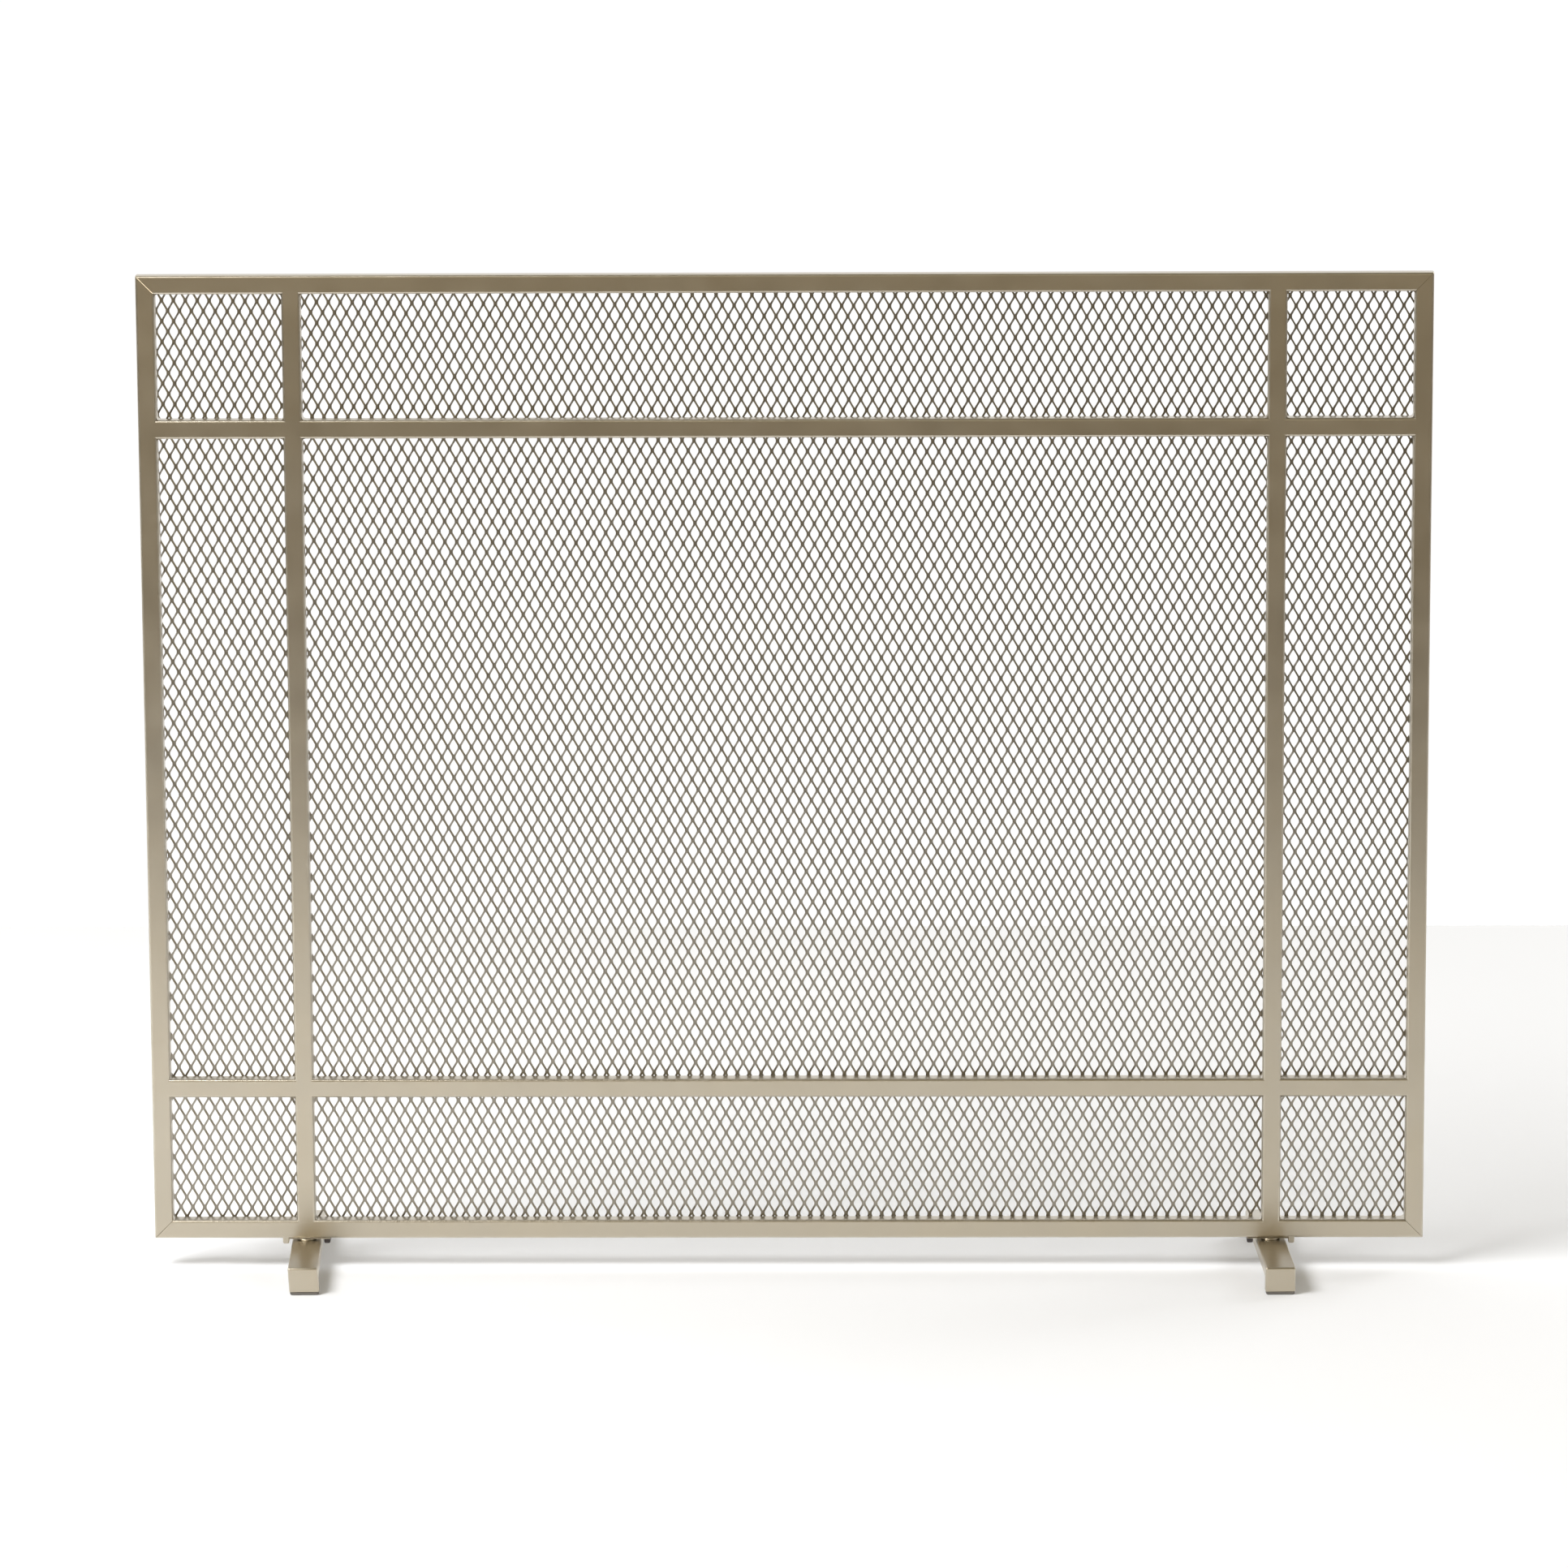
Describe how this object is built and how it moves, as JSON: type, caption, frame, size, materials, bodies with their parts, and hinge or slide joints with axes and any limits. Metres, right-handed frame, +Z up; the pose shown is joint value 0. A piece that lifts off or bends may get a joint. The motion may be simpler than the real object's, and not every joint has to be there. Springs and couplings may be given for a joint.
{
  "type": "fireplace screen",
  "caption": "Flat free-standing fireplace screen: a welded square-tube grid with expanded-metal mesh behind it, on two low bolted feet.",
  "frame": {"origin": "on the floor under the middle of the panel, at the bottom centre of the object's box", "axes": "+X along the panel to the viewer's right, +Y from front to back, +Z up; the tube frame faces -Y and the mesh is on the +Y side"},
  "size_m": [0.965, 0.18, 0.76],
  "materials": {
    "frame_finish": "satin champagne-gold metallic",
    "mesh_finish": "satin champagne-gold metallic, a shade darker",
    "glide_pads": "matt dark grey",
    "hardware": "zinc-plated steel"
  },
  "bodies": {
    "root": {"top_rail": "frame_finish", "bottom_rail": "frame_finish", "left_stile": "frame_finish", "right_stile": "frame_finish", "left_mullion": "frame_finish", "right_mullion": "frame_finish", "upper_left_crossbar": "frame_finish", "upper_centre_crossbar": "frame_finish", "upper_right_crossbar": "frame_finish", "lower_left_crossbar": "frame_finish", "lower_centre_crossbar": "frame_finish", "lower_right_crossbar": "frame_finish", "mesh_sheet": "mesh_finish", "left_foot": "frame_finish", "left_front_pad": "glide_pads", "left_rear_pad": "glide_pads", "left_spacer_washer": "frame_finish", "left_saddle": "frame_finish", "left_threaded_insert": "hardware", "left_foot_bolt": "hardware", "right_foot": "frame_finish", "right_front_pad": "glide_pads", "right_rear_pad": "glide_pads", "right_spacer_washer": "frame_finish", "right_saddle": "frame_finish", "right_threaded_insert": "hardware", "right_foot_bolt": "hardware"}
  },
  "joints": []
}
